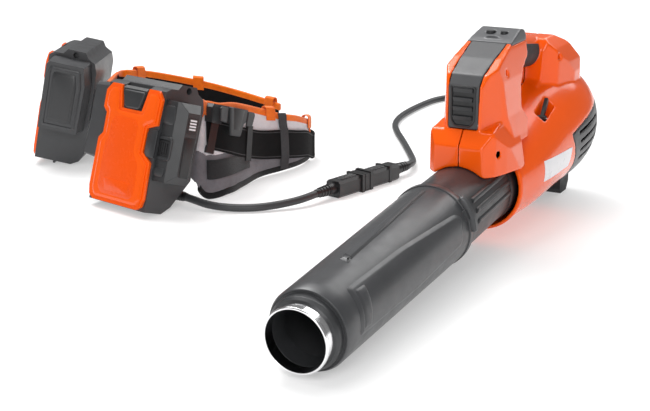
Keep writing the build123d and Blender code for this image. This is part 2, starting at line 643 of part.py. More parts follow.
def make_buckle():
    """The closed side-release buckle between the docks; its webbing ends are not modelled."""
    frame = BUCKLE * block((-34, -24, -6), (4, 24, 6))
    frame -= BUCKLE * block((-26, -19, -3.4), (5, 19, 3.4))
    parts["buckle_female"] = frame
    tongue = BUCKLE * block((-22, -12, -2.6), (4.4, 12, 2.6))
    parts["buckle_male"] = tongue + BUCKLE * block((4.4, -24, -6), (24, 24, 6))


# ---- cable and connector ----
CONNECTOR = Plane(origin=(-281, 635, 16), x_dir=(0.248, 0.969, 0), z_dir=(0, 0, 1))
CONNECTOR_LENGTH = 181.0
MATE = 88.0
GLAND_Y, GLAND_Z, GLAND_R = 97.0, 31.0, 8.0
GLAND_START, GLAND_EXIT, GLAND_AHEAD = [
    (FRONT_DOCK * Pos(x, GLAND_Y, GLAND_Z)).position for x in (0, 30, 67)]
INLET_EXIT = (BLOWER_PLACE * Pos(INLET[0], INLET[1] + 20, INLET[2])).position
SOCKET_END = CONNECTOR.origin
SOCKET_AHEAD = SOCKET_END - CONNECTOR.x_dir * 28
PLUG_END = SOCKET_END + CONNECTOR.x_dir * CONNECTOR_LENGTH
PLUG_AHEAD = PLUG_END + CONNECTOR.x_dir * 28

DOCK_ROUTE = [
    GLAND_EXIT, GLAND_AHEAD,
    (-423, 490.5, 8.5), (-384, 499.5, 6.6), (-347, 520, 6.8), (-318, 551, 9.2), (-297.5, 578, 13),
    SOCKET_AHEAD, SOCKET_END,
]
BLOWER_ROUTE = [
    INLET_EXIT, INLET_EXIT + Vector(0, 34, 0),
    (-6, 992, 116), (-13, 1032, 92), (-26, 1070, 58), (-46, 1108, 27), (-74, 1150, 10), (-108, 1203, 6.6),
    (-148, 1264, 6.6), (-192, 1328, 6.6), (-238, 1393, 6.6), (-291.7, 1465, 6.6), (-340, 1480, 6.6),
    (-387.5, 1464, 6.6), (-417, 1423, 6.6), (-423, 1350, 6.6), (-422, 1276, 6.6), (-414, 1208, 6.6),
    (-396, 1150, 6.6), (-367, 1097, 6.6), (-332, 1044, 6.6), (-289, 975, 6.6), (-253, 914, 8),
    (-233, 872, 13), PLUG_AHEAD, PLUG_END,
]


def route_radii(points):
    """Each corner's radius: 0.45 of its shorter run over the tangent of half its turn."""
    vectors = [Vector(p) for p in points]
    radii = []
    for a, b, c in zip(vectors, vectors[1:], vectors[2:]):
        turn = math.radians((b - a).get_angle(c - b))
        radii.append(0.45 * min((b - a).length, (c - b).length) / math.tan(turn / 2))
    return radii


def cable(name, points):
    """A round cable along straight runs that tangent arcs join."""
    points = [Vector(p) for p in points]
    radii = route_radii(points)
    path = FilletPolyline(*points, radius=radii)
    section = Plane(origin=points[0], z_dir=points[1] - points[0]) * Circle(CABLE_R)
    tube = sweep(section, path=path)
    expected = math.pi * CABLE_R ** 2 * path.length
    runs = [(b - a).length for a, b in zip(points, points[1:])]
    print(name, "length", round(path.length), "volume ratio", round(tube.volume / expected, 4))
    print("  radii", [round(r) for r in radii], "runs", [round(r) for r in runs])
    parts[name] = tube


def make_cables():
    cable("dock_cable", DOCK_ROUTE)
    cable("blower_cable", BLOWER_ROUTE)
    parts["dock_gland"] = rod(GLAND_START, GLAND_EXIT, GLAND_R)
    lug = block((-30, 70, GLAND_Z - 8.5), (0, GLAND_Y + GLAND_R + 1, GLAND_Z + 14))
    parts["front_dock_housing"] += FRONT_DOCK * lug
    socket = CONNECTOR * rod((0, 0, 0), (14, 0, 0), 10)
    socket += CONNECTOR * chamfer(block((12, -15, -15), (76, 15, 13)).edges().filter_by(Axis.X), 4)
    socket += CONNECTOR * block((66, -18, -15.6), (72, 18, 15))
    socket += CONNECTOR * block((76, -16, -15.6), (MATE, 16, 14))
    plug = CONNECTOR * block((MATE, -17, -15.6), (MATE + 7, 17, 16))
    plug += CONNECTOR * chamfer(block((MATE + 7, -15, -15), (168, 15, 13)).edges().filter_by(Axis.X), 4)
    plug += CONNECTOR * block((140, -16, -14), (146, 16, 14.6))
    plug += CONNECTOR * rod((166, 0, 0), (CONNECTOR_LENGTH, 0, 0), 10)
    parts["connector_socket"] = socket
    parts["connector_plug"] = plug


CORD_NODES = ["blower_cable", "dock_cable", "connector_plug", "connector_socket"]

make_pipe()
make_drive()
make_body()
make_handle_parts()
make_small_parts()
make_dock("front_dock", FRONT_DOCK, False)
make_dock("side_dock", SIDE_DOCK, True)
make_belt()
make_cables()

boxes = [parts[name].bounding_box() for name in parts if name not in CORD_NODES]
low_x = min(box.min.X for box in boxes)
high_x = max(box.max.X for box in boxes)
low_y = min(box.min.Y for box in boxes)
high_y = max(box.max.Y for box in boxes)
floor = min(box.min.Z for box in boxes)
SHIFT = (-(low_x + high_x) / 2, -(low_y + high_y) / 2, -floor)
print("shift", [round(v, 3) for v in SHIFT], "nodes", len(parts))

os.makedirs("parts", exist_ok=True)
for name, shape in parts.items():
    export_step(Pos(*SHIFT) * shape, f"parts/{name}.step")
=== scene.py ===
"""A hand-held battery leaf blower on its cable, and the hip belt with two battery docks that feeds it."""
import math

import bmesh
import bpy
import numpy as np
from mathutils import Matrix, Vector
from mathutils.kdtree import KDTree


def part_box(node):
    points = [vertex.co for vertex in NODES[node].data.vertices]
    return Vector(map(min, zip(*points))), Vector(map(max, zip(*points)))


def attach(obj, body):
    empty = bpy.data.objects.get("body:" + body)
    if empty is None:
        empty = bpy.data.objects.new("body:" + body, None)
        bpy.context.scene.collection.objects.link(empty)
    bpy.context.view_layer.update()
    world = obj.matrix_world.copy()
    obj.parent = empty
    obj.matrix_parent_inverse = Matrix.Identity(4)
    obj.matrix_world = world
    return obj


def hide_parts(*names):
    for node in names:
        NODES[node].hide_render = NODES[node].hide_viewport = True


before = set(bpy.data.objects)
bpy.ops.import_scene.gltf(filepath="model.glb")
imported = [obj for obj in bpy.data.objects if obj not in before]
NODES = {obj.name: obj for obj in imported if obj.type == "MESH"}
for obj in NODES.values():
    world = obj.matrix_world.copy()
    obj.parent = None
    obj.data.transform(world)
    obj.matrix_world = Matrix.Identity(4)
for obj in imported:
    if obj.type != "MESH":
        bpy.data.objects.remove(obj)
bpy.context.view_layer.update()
ROOT = "blower_and_belt"
MM = 0.001

# ---- driving sizes, in millimetres ----
CABLE_R = 6.25
BULGE_THICK = 40.0                          # how far the bulge stands out from a dock's side
DOCK_HALF = 66.0                            # half a dock's width
BATTERY_END = 106.0                         # the battery's outer end, from the dock's middle
BATTERY_FRONT, BATTERY_REAR = 9.0, 59.0     # the battery's faces, behind the cover
CAP_DEPTH = 1.2                             # how far a dock's cover stands in front of its origin
SLEEVE_FRONT, SLEEVE_FRONT_R, SLEEVE_REAR, SLEEVE_REAR_R = 34.0, 51.6, 390.0, 57.1
SLEEVE_MIDDLE_R = 54.0
TUBE_R = 53.5
PAD_HALF = 5.5                              # half a pad's thickness
PAD_BEHIND = 109.4                          # depth of the pad's middle behind a dock's cover
SWELL = 3.2                                 # how far a pad's surface may swell
WEBBING, WEBBING_THICK = 46.0, 2.2
CONNECTOR_LENGTH = 181.0
INLET_X, INLET_Y, INLET_Z = -20, 940, 118   # where the cable goes into the body
GLAND_X, GLAND_Y, GLAND_Z = 30, 97.0, 31.0  # where the cable leaves the front dock
GLAND_RUN = 37                              # straight run of cable beside the front dock
EXIT_RUN = 34                               # straight run of cable behind the body's inlet
CONNECTOR_RUN = 28                          # straight run of cable at each end of the connector

# ---- places, all worked out from the outlet ring ----
# Each matrix takes millimetres in a piece's own axes to metres in the frame.
RISE = math.radians(3.89)                   # slope of the blow pipe
RING_R = 41.0
RING_BACK = RING_R * math.sin(RISE)         # how far the tilted ring's top leans towards the front
ring_low, ring_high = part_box("outlet_ring")
BLOWER = Matrix.Translation(((ring_low.x + ring_high.x) / 2, ring_low.y + RING_BACK * MM, ring_low.z))
BLOWER = BLOWER @ Matrix.Scale(MM, 4)
BELT = BLOWER @ Matrix.Translation((-17.5, 25.6, -BLOWER.translation.z / MM))
PIPE = BLOWER @ Matrix.Translation((0, 0, RING_R * math.cos(RISE))) @ Matrix.Rotation(RISE, 4, "X")


def dock_matrix(origin, normal, up):
    """A dock's axes: X along its cover, Y from the cover into it, Z up the cover."""
    back = -Vector(normal).normalized()
    side = back.cross(Vector(up)).normalized()
    axes = Matrix((side, back, side.cross(back))).transposed().to_4x4()
    return BELT @ Matrix.Translation(origin) @ axes


MIRROR_X = Matrix.Scale(-1, 4, (1, 0, 0))
DOCKS = {
    "front_dock": dock_matrix((-551, 415, 11.8), (-0.217, -0.931, 0.295), (0.067, 0.287, 0.956)),
    "side_dock": dock_matrix((-886, 651, 15), (-0.90, -0.386, 0.201), (0.185, 0.079, 0.98)) @ MIRROR_X,
}
BATTERY_BODY = {"front_dock": "front_battery", "side_dock": "side_battery"}
LATCH_BODY = {"front_dock": "front_latch", "side_dock": "side_latch"}


# ---- materials ----
def nodes_of(name):
    """A new material, its node tree and its main shader."""
    material = bpy.data.materials.new(name)
    material.use_nodes = True
    tree = material.node_tree
    return material, tree, tree.nodes["Principled BSDF"]


def texture(tree, kind, scale, **settings):
    """A procedural texture in object coordinates, which are metres."""
    node = tree.nodes.new(kind)
    where = tree.nodes.get("Texture Coordinate") or tree.nodes.new("ShaderNodeTexCoord")
    tree.links.new(where.outputs["Object"], node.inputs["Vector"])
    node.inputs["Scale"].default_value = scale
    for key, value in settings.items():
        if key in node.inputs:
            node.inputs[key].default_value = value
        else:
            setattr(node, key, value)
    return node


def ramp(tree, source, low, high):
    """Maps a texture to a range: to colours if low is one, otherwise to numbers."""
    at = (0.3, 0.7)                         # most of a noise texture's values lie between these
    if isinstance(low, (tuple, list)):
        node = tree.nodes.new("ShaderNodeValToRGB")
        for stop, colour, place in zip(node.color_ramp.elements, (low, high), at):
            stop.color = (*colour, 1)
            stop.position = place
        tree.links.new(source, node.inputs["Fac"])
        return node.outputs["Color"]
    node = tree.nodes.new("ShaderNodeMapRange")
    for key, value in zip(("From Min", "From Max", "To Min", "To Max"), (*at, low, high)):
        node.inputs[key].default_value = value
    tree.links.new(source, node.inputs["Value"])
    return node.outputs["Result"]


def bump(tree, shader, height, strength, distance):
    """Adds a bump to the shader, on top of any that it has."""
    node = tree.nodes.new("ShaderNodeBump")
    node.inputs["Strength"].default_value = strength
    node.inputs["Distance"].default_value = distance
    tree.links.new(height, node.inputs["Height"])
    if shader.inputs["Normal"].links:
        tree.links.new(shader.inputs["Normal"].links[0].from_socket, node.inputs["Normal"])
    tree.links.new(node.outputs["Normal"], shader.inputs["Normal"])


def plastic(name, colour, rough, grain=900.0, depth=0.00006, coat=0.0, metallic=0.0, mottle=0.10,
            gloss=0.5):
    """Moulded plastic or metal: slight mottling, uneven gloss and a fine moulded grain."""
    material, tree, shader = nodes_of(name)
    cloud = texture(tree, "ShaderNodeTexNoise", 14.0, Detail=6.0, Roughness=0.6)
    dark = tuple(c * (1 - mottle) for c in colour)
    light = tuple(min(1.0, c * (1 + mottle)) for c in colour)
    tree.links.new(ramp(tree, cloud.outputs["Fac"], dark, light), shader.inputs["Base Color"])
    smear = texture(tree, "ShaderNodeTexNoise", 55.0, Detail=8.0, Roughness=0.7)
    tree.links.new(ramp(tree, smear.outputs["Fac"], rough * 0.85, rough * 1.18), shader.inputs["Roughness"])
    if depth:
        fine = texture(tree, "ShaderNodeTexNoise", grain, Detail=3.0)
        bump(tree, shader, fine.outputs["Fac"], 0.6, depth)
    shader.inputs["Coat Weight"].default_value = coat
    shader.inputs["Coat Roughness"].default_value = 0.06
    shader.inputs["Metallic"].default_value = metallic
    shader.inputs["Specular IOR Level"].default_value = gloss
    return material


def woven(name, colour, thread=0.9, depth=0.00025, sheen=0.25, fleck=0.25):
    """Cloth of crossing threads, thread millimetres apart, with single threads lighter or darker."""
    material, tree, shader = nodes_of(name)
    scale = 2 / (math.tau * thread * MM)
    cloud = texture(tree, "ShaderNodeTexNoise", 30.0, Detail=8.0, Roughness=0.75)
    dark = tuple(c * (1 - fleck) for c in colour)
    light = tuple(min(1.0, c * (1 + fleck)) for c in colour)
    tree.links.new(ramp(tree, cloud.outputs["Fac"], dark, light), shader.inputs["Base Color"])
    across = texture(tree, "ShaderNodeTexWave", scale, bands_direction="DIAGONAL", Distortion=0.4)
    upward = texture(tree, "ShaderNodeTexWave", scale, bands_direction="Z", Distortion=0.4)
    mix = tree.nodes.new("ShaderNodeMath")
    mix.operation = "MAXIMUM"
    tree.links.new(across.outputs["Fac"], mix.inputs[0])
    tree.links.new(upward.outputs["Fac"], mix.inputs[1])
    bump(tree, shader, mix.outputs["Value"], 0.8, depth)
    fuzz = texture(tree, "ShaderNodeTexNoise", 2200.0, Detail=2.0)
    bump(tree, shader, fuzz.outputs["Fac"], 0.5, depth * 0.6)
    shader.inputs["Roughness"].default_value = 0.85
    shader.inputs["Sheen Weight"].default_value = sheen
    shader.inputs["Sheen Roughness"].default_value = 0.5
    shader.inputs["Specular IOR Level"].default_value = 0.12
    return material


ORANGE = plastic("orange_shell", (0.94, 0.104, 0.001), 0.20, grain=500, depth=0, coat=0.25, mottle=0.02,
                 gloss=0.32)
ORANGE_DEEP = plastic("orange_panel", (0.88, 0.088, 0.001), 0.26, grain=500, depth=0, coat=0.2, mottle=0.015,
                      gloss=0.32)
DARK = plastic("dark_plastic", (0.028, 0.029, 0.031), 0.38)
GREY = plastic("grey_plastic", (0.046, 0.047, 0.050), 0.38)
CAP = plastic("cap_plastic", (0.085, 0.087, 0.092), 0.34)
BLACK = plastic("black_plastic", (0.012, 0.012, 0.013), 0.38)
GRIP = plastic("soft_grip", (0.022, 0.022, 0.024), 0.68, grain=1400, depth=0.00012)
SLEEVE = plastic("sleeve_plastic", (0.046, 0.047, 0.050), 0.34, grain=1100, depth=0.00005)
METAL = plastic("bright_aluminium", (0.86, 0.86, 0.87), 0.16, grain=2500, depth=0.00001, metallic=1.0,
                mottle=0.02)
STEEL = plastic("steel", (0.50, 0.50, 0.51), 0.30, grain=1800, depth=0.00002, metallic=1.0)
LABEL = plastic("label_film", (0.80, 0.80, 0.82), 0.30, grain=2600, depth=0.00001, coat=0.2, mottle=0.03)
BOARD = plastic("circuit_board", (0.02, 0.12, 0.05), 0.35)
BRIGHT = plastic("gauge_bar", (0.75, 0.76, 0.78), 0.35, depth=0)
CABLE = plastic("cable_sheath", (0.032, 0.033, 0.035), 0.45, grain=1600, depth=0.00004)
FABRIC = woven("grey_fabric", (0.72, 0.705, 0.735), fleck=0.12)
FABRIC_DARK = woven("mid_grey_fabric", (0.165, 0.16, 0.175))
LINING = woven("black_lining", (0.007, 0.007, 0.0075), sheen=0.03)
STRAP = woven("black_webbing", (0.006, 0.006, 0.0065), thread=1.6, depth=0.0004, sheen=0.03)
STRAP_GREY = woven("grey_webbing", (0.045, 0.045, 0.048), thread=1.6, depth=0.0004, sheen=0.15)
BINDING = woven("orange_binding", (0.99, 0.165, 0.004), thread=1.2, depth=0.0003, sheen=0.3)
BINDING_BLACK = woven("black_binding", (0.007, 0.007, 0.0075), thread=1.2, depth=0.0003)
HOOK = woven("hook_patch", (0.022, 0.022, 0.024), thread=1.1, depth=0.0005)


# ---- mesh helpers ----
def skin(bm, rings):
    """Faces between each ring of points and the next."""
    for low, high in zip(rings, rings[1:]):
        for index in range(len(low)):
            after = (index + 1) % len(low)
            bm.faces.new((low[index], low[after], high[after], high[index]))


def finished(name, bm, material, body, sharp=38.0):
    """Makes the object of a bmesh, shades it and lets it ride on its body."""
    bmesh.ops.remove_doubles(bm, verts=bm.verts, dist=1e-7)
    bmesh.ops.recalc_face_normals(bm, faces=bm.faces)
    mesh = bpy.data.meshes.new(name)
    bm.to_mesh(mesh)
    bm.free()
    mesh.shade_smooth()
    mesh.set_sharp_from_angle(angle=math.radians(sharp))
    piece = bpy.data.objects.new(name, mesh)
    bpy.context.scene.collection.objects.link(piece)
    mesh.materials.append(material)
    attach(piece, body)
    return piece


def rounded(corners, radius, steps=5):
    """A closed outline with each corner turned by an arc of at most this radius."""
    outline = []
    count = len(corners)
    for index in range(count):
        here = Vector(corners[index])
        back = Vector(corners[index - 1]) - here
        ahead = Vector(corners[(index + 1) % count]) - here
        reach = min(radius, back.length * 0.48, ahead.length * 0.48)
        first, last = here + back.normalized() * reach, here + ahead.normalized() * reach
        for step in range(steps + 1):
            t = step / steps
            outline.append(first * (1 - t) ** 2 + here * (2 * t * (1 - t)) + last * t ** 2)
    return outline


def inset(outline, depth):
    """The outline moved inwards by depth at every point; it runs anticlockwise."""
    if not depth:
        return list(outline)
    moved = []
    count = len(outline)
    for index in range(count):
        back = (outline[index] - outline[index - 1]).normalized()
        ahead = (outline[(index + 1) % count] - outline[index]).normalized()
        left = Vector((-back.y - ahead.y, back.x + ahead.x))
        left = left.normalized() if left.length > 1e-6 else Vector((-back.y, back.x))
        stretch = max(0.5, left.dot(Vector((-back.y, back.x))))
        moved.append(outline[index] + left * (depth / stretch))
    return moved


def area_of(outline):
    """The outline's area, which is negative if it runs clockwise."""
    return sum(a.x * b.y - b.x * a.y for a, b in zip(outline, outline[1:] + outline[:1])) / 2


def slab(name, outline, layers, place, material, body=ROOT, cell=0.0):
    """A plate whose rim goes through layers of (inset, height). place takes (u, v, height) to a point; with
    cell, the plate is cut every cell millimetres, so that it can follow a curved place."""
    outline = [Vector(p) for p in outline]
    if area_of(outline) < 0:
        outline.reverse()
    bm = bmesh.new()
    rings = []
    for depth, height in layers:
        rings.append([bm.verts.new((p.x, p.y, height)) for p in inset(outline, depth)])
    bm.faces.new(rings[0])
    bm.faces.new(rings[-1])
    skin(bm, rings)
    if cell:
        for axis in (0, 1):
            values = [p[axis] for p in outline]
            lines = np.arange(min(values) + cell * 0.5, max(values), cell)
            normal = (1, 0, 0) if axis == 0 else (0, 1, 0)
            for value in lines:
                point = (value, 0, 0) if axis == 0 else (0, value, 0)
                geometry = bm.verts[:] + bm.edges[:] + bm.faces[:]
                bmesh.ops.bisect_plane(bm, geom=geometry, plane_co=point, plane_no=normal)
    for vert in bm.verts:
        vert.co = place(*vert.co)
    finished(name, bm, material, body)


def flat(matrix):
    """A place for slabs: u and v in a plane, heights along its normal."""
    return lambda u, v, h: matrix @ Vector((u, v, h))


def sweep(name, frames, profile, material):
    """Carries a closed profile of (across, up) points along frames of (origin, across, up)."""
    bm = bmesh.new()
    rings = []
    for origin, across, up in frames:
        rings.append([bm.verts.new(origin + across * a + up * b) for a, b in profile])
    skin(bm, rings)
    bm.faces.new(rings[0])
    bm.faces.new(rings[-1])
    return finished(name, bm, material, ROOT)


def strap_profile(width, thick):
    """A flat strap's section, across by thickness, with a soft edge."""
    w, t = width / 2, thick / 2
    side = [(-w, -t * 0.4), (-w + t * 0.6, -t)]
    far = [(w - t * 0.6, -t), (w, -t * 0.4), (w, t * 0.4), (w - t * 0.6, t)]
    return side + far + [(-w + t * 0.6, t), (-w, t * 0.4)]


def carried(node, material, width):
    """Gives a CAD node a finished material and edges softly rounded to width millimetres."""
    sharp = math.radians(32)                # edges that turn less than this stay smooth
    piece = NODES[node]
    mesh = piece.data
    if "custom_normal" in mesh.attributes:
        mesh.attributes.remove(mesh.attributes["custom_normal"])
    mesh.shade_smooth()
    mesh.set_sharp_from_angle(angle=sharp)
    if piece.material_slots:
        for place in piece.material_slots:
            place.material = material
    else:
        mesh.materials.append(material)
    if width:
        weld = piece.modifiers.new("weld", "WELD")
        weld.merge_threshold = 0.00002
        soft = piece.modifiers.new("soft_edges", "BEVEL")
        soft.width = width * MM
        soft.segments = 2
        soft.limit_method = "ANGLE"
        soft.angle_limit = sharp
        soft.harden_normals = True
        soft.miter_outer = "MITER_ARC"
    return piece


# ---- cables first ----
def cable(name, points, node):
    """A round cord along a smooth curve that the points control; node is the CAD cord that it stands in for,
    which it hides.
    """
    curve = bpy.data.curves.new(name, "CURVE")
    curve.dimensions = "3D"
    curve.resolution_u = 10
    curve.bevel_depth = CABLE_R * MM
    curve.bevel_resolution = 6
    curve.use_fill_caps = True
    spline = curve.splines.new("NURBS")
    spline.points.add(len(points) - 1)
    for point, place in zip(spline.points, points):
        point.co = (*place, 1)
    spline.order_u = 3
    spline.use_endpoint_u = True
    piece = bpy.data.objects.new(name, curve)
    bpy.context.scene.collection.objects.link(piece)
    curve.materials.append(CABLE)
    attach(piece, ROOT)
    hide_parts(node)


CONNECTOR = BELT @ Matrix.Translation((-281, 635, 16)) @ Matrix.Rotation(math.atan2(0.969, 0.248), 4, "Z")
gland_exit, gland_ahead = [
    DOCKS["front_dock"] @ Vector((x, GLAND_Y, GLAND_Z)) for x in (GLAND_X, GLAND_X + GLAND_RUN)]
socket_ahead, socket_end, plug_end, plug_ahead = [
    CONNECTOR @ Vector((x, 0, 0))
    for x in (-CONNECTOR_RUN, 0, CONNECTOR_LENGTH, CONNECTOR_LENGTH + CONNECTOR_RUN)]
inlet_exit, inlet_ahead = [
    BLOWER @ Vector((INLET_X, y, INLET_Z)) for y in (INLET_Y, INLET_Y + EXIT_RUN)]
DOCK_ROUTE = [
    (-423, 490.5, 8.5), (-384, 499.5, 6.6), (-347, 520, 6.8), (-318, 551, 9.2), (-297.5, 578, 13),
]
BLOWER_ROUTE = [
    (-6, 992, 116), (-13, 1032, 92), (-26, 1070, 58), (-46, 1108, 27), (-74, 1150, 10), (-108, 1203, 6.6),
    (-148, 1264, 6.6), (-192, 1328, 6.6), (-238, 1393, 6.6), (-291.7, 1465, 6.6), (-340, 1480, 6.6),
    (-387.5, 1464, 6.6), (-417, 1423, 6.6), (-423, 1350, 6.6), (-422, 1276, 6.6), (-414, 1208, 6.6),
    (-396, 1150, 6.6), (-367, 1097, 6.6), (-332, 1044, 6.6), (-289, 975, 6.6), (-253, 914, 8),
    (-233, 872, 13),
]


def in_belt(points):
    """Points in the belt's millimetres, as places in the frame."""
    return [BELT @ Vector(p) for p in points]


cable("dock_cable_sheath", [gland_exit, gland_ahead, *in_belt(DOCK_ROUTE), socket_ahead, socket_end],
      "dock_cable")
cable("blower_cable_sheath", [inlet_exit, inlet_ahead, *in_belt(BLOWER_ROUTE), plug_ahead, plug_end],
      "blower_cable")

# ---- carried-over CAD nodes ----
for node, material, width in [
    ("outlet_ring", METAL, 0.35), ("outlet_collar", DARK, 0.5), ("blow_tube", SLEEVE, 0.8),
    ("intermediate_tube", DARK, 0.5),
    ("power_button", DARK, 0.4), ("mode_button", DARK, 0.4), ("handle_grip", GRIP, 0.8),
    ("trigger", BLACK, 1.2), ("trigger_pin", STEEL, 0.1), ("cruise_lever", BLACK, 0.7),
    ("cruise_pin", STEEL, 0.1), ("rear_foot", GRIP, 1.5), ("fan_duct", DARK, 0.4), ("guide_vanes", DARK, 0.3),
    ("motor_can", STEEL, 0.5), ("rotor_shaft", STEEL, 0.2), ("impeller", BLACK, 0.3),
    ("bearings", STEEL, 0.2), ("control_board", BOARD, 0.2), ("housing_screws", STEEL, 0.2),
    ("rating_plate", LABEL, 0.15), ("cable_inlet", BLACK, 0.8), ("dock_gland", BLACK, 0.8),
    ("connector_plug", BLACK, 0.8), ("connector_socket", BLACK, 0.8), ("buckle_female", DARK, 0.8),
    ("buckle_male", DARK, 0.8), ("accessory_bracket", DARK, 0.8), ("webbing_keepers", BLACK, 0.4),
]:
    carried(node, material, width)
for dock in DOCKS:
    for part, material, width in [
        ("housing", GREY, 1.6), ("latch", DARK, 1.0), ("bracket", DARK, 0.8), ("contacts", STEEL, 0.2),
        ("battery_case", DARK, 1.4), ("battery_front_button", BLACK, 0.4),
        ("battery_rear_button", BLACK, 0.4), ("battery_gauge", BLACK, 0.3), ("cover", ORANGE, 0.8),
    ]:
        carried(f"{dock}_{part}", material, width)


def moulded(node, material, width, voxel, rounds):
    """Softens a faceted CAD node into a moulded shell."""
    piece = carried(node, material, width)
    remesh = piece.modifiers.new("moulded", "REMESH")
    remesh.mode = "VOXEL"
    remesh.voxel_size = voxel * MM
    remesh.use_smooth_shade = True
    relax = piece.modifiers.new("relaxed", "SMOOTH")
    relax.factor = 0.5
    relax.iterations = rounds


for half in ("housing_left", "housing_right"):
    moulded(half, ORANGE, 0, voxel=1.5, rounds=9)
moulded("front_grille", GREY, 1.2, voxel=1.2, rounds=5)
moulded("top_cap", CAP, 1.6, voxel=1.2, rounds=6)
moulded("intake_cover", DARK, 0.8, voxel=1.3, rounds=4)


# ---- blower details ----
def lathe(name, matrix, outline, material, body=ROOT, steps=56, along="X"):
    """Turns an open outline of (radius, station) points about the matrix's X or Y axis."""
    bm = bmesh.new()
    rings = []
    for radius, station in outline:
        ring = []
        for step in range(steps):
            angle = 2 * math.pi * step / steps
            a, b = radius * math.cos(angle), radius * math.sin(angle)
            ring.append(bm.verts.new(matrix @ Vector((station, a, b) if along == "X" else (a, station, b))))
        rings.append(ring)
    skin(bm, rings)
    bm.faces.new(rings[0])
    bm.faces.new(rings[-1])
    finished(name, bm, material, body)


def on_sleeve(u, v, h):
    """A place for slabs: u is millimetres round the sleeve from its top, v the station along it."""
    part = (v - SLEEVE_FRONT) / (SLEEVE_REAR - SLEEVE_FRONT)
    radius = SLEEVE_FRONT_R + (SLEEVE_REAR_R - SLEEVE_FRONT_R) * part + h
    turn = u / SLEEVE_MIDDLE_R
    return PIPE @ Vector((radius * math.sin(turn), v, radius * math.cos(turn)))


def on_tube(u, v, h):
    """The same, on the tube behind the sleeve."""
    turn = u / TUBE_R
    radius = TUBE_R + h
    return PIPE @ Vector((radius * math.sin(turn), v, radius * math.cos(turn)))


def sleeve_details():
    """The raised panel, ridge, catch and bands of the pipe's sleeve, and the tube's rails."""
    side = rounded([(34, 66), (96, 58), (100, 210), (92, 352), (58, 366), (50, 352), (38, 200)], 8)
    slab("sleeve_side_panel", side, [(0, -0.8), (0, 0.2), (5, 1.7), (5.5, 1.75)], on_sleeve, SLEEVE,
         body="pipe", cell=7)
    nose = rounded([(42, 74), (88, 66), (90, 84), (44, 96)], 3)
    slab("sleeve_panel_step", nose, [(0, 1.6), (0, 1.75), (3, 2.7)], on_sleeve, GREY, body="pipe", cell=7)
    catch = rounded([(40, 381), (84, 381), (86, 392), (38, 392)], 4)
    slab("sleeve_catch_bar", catch, [(0, -0.6), (0, 5.4), (2.2, 8.2)], on_sleeve, GREY, body="pipe", cell=4)
    ridge = rounded([(-3.5, 128), (9.5, 124), (1.5, 362), (-5.5, 362)], 1.5)
    slab("sleeve_top_ridge", ridge, [(0, -0.5), (0, 0.6), (2.4, 2.9)], on_sleeve, SLEEVE, body="pipe", cell=6)
    step = rounded([(-4.5, 118), (10.5, 114), (9.5, 126), (-3.5, 130)], 1.5)
    slab("sleeve_ridge_nose", step, [(0, -0.5), (0, 0.2), (3.4, 2.2)], on_sleeve, GREY, body="pipe", cell=6)
    window = rounded([(52, 402), (70, 399), (70, 411), (52, 409)], 1.5)
    slab("tube_catch_window", window, [(0, -0.4), (0, 0.5), (0.5, 0.8)], on_tube, BLACK, cell=4)
    for row, turn in enumerate((48.5, 63.5, 78.5)):
        rail_outline = rounded([(turn, 420), (turn + 7.5, 418), (turn + 7.5, 548), (turn, 548)], 3)
        slab(f"tube_rail_{row}", rail_outline, [(0, -0.6), (0, 0.6), (2.2, 2.2)], on_tube, DARK, cell=5)
    lathe("sleeve_rear_band", PIPE, [(56.6, 379), (58.6, 380), (58.8, 388), (57.4, 391), (56.2, 391.5)],
          SLEEVE, body="pipe", along="Y")
    lathe("tube_root_shadow", PIPE, [(53.8, 548), (55.6, 552), (56.2, 566), (53.6, 566.2)], BLACK, along="Y")


def pillar_details():
    """The framed louvres on the front pillar's insert."""
    face = BLOWER @ Matrix.Translation((0, 487, 0)) @ Matrix.Rotation(math.pi / 2, 4, "X")
    frame_outline = rounded([(-18, 190), (-12, 182), (12, 182), (18, 190), (18.5, 240), (-18.5, 240)], 4)
    outer = [(0, -0.5), (0, 1.0), (1.4, 2.2), (2.6, 2.2), (3.2, 0.4)]
    slab("louvre_frame", frame_outline, outer, flat(face), BLACK)
    section = [(0.3, 3.6), (4.2, 3.0), (2.2, -3.4), (0.3, -3.6)]
    half_wide, lowest, pitch = 14.4, 195, 13
    for row in range(4):
        height = lowest + pitch * row
        bm = bmesh.new()
        ends = []
        for x in (-half_wide, half_wide):
            ends.append([bm.verts.new(face @ Vector((x, height + v, out))) for out, v in section])
        bm.faces.new(ends[0])
        bm.faces.new(ends[1])
        skin(bm, ends)
        bmesh.ops.bevel(bm, geom=bm.edges[:], offset=0.5 * MM, segments=2, affect="EDGES")
        finished(f"louvre_blade_{row}", bm, DARK, ROOT)


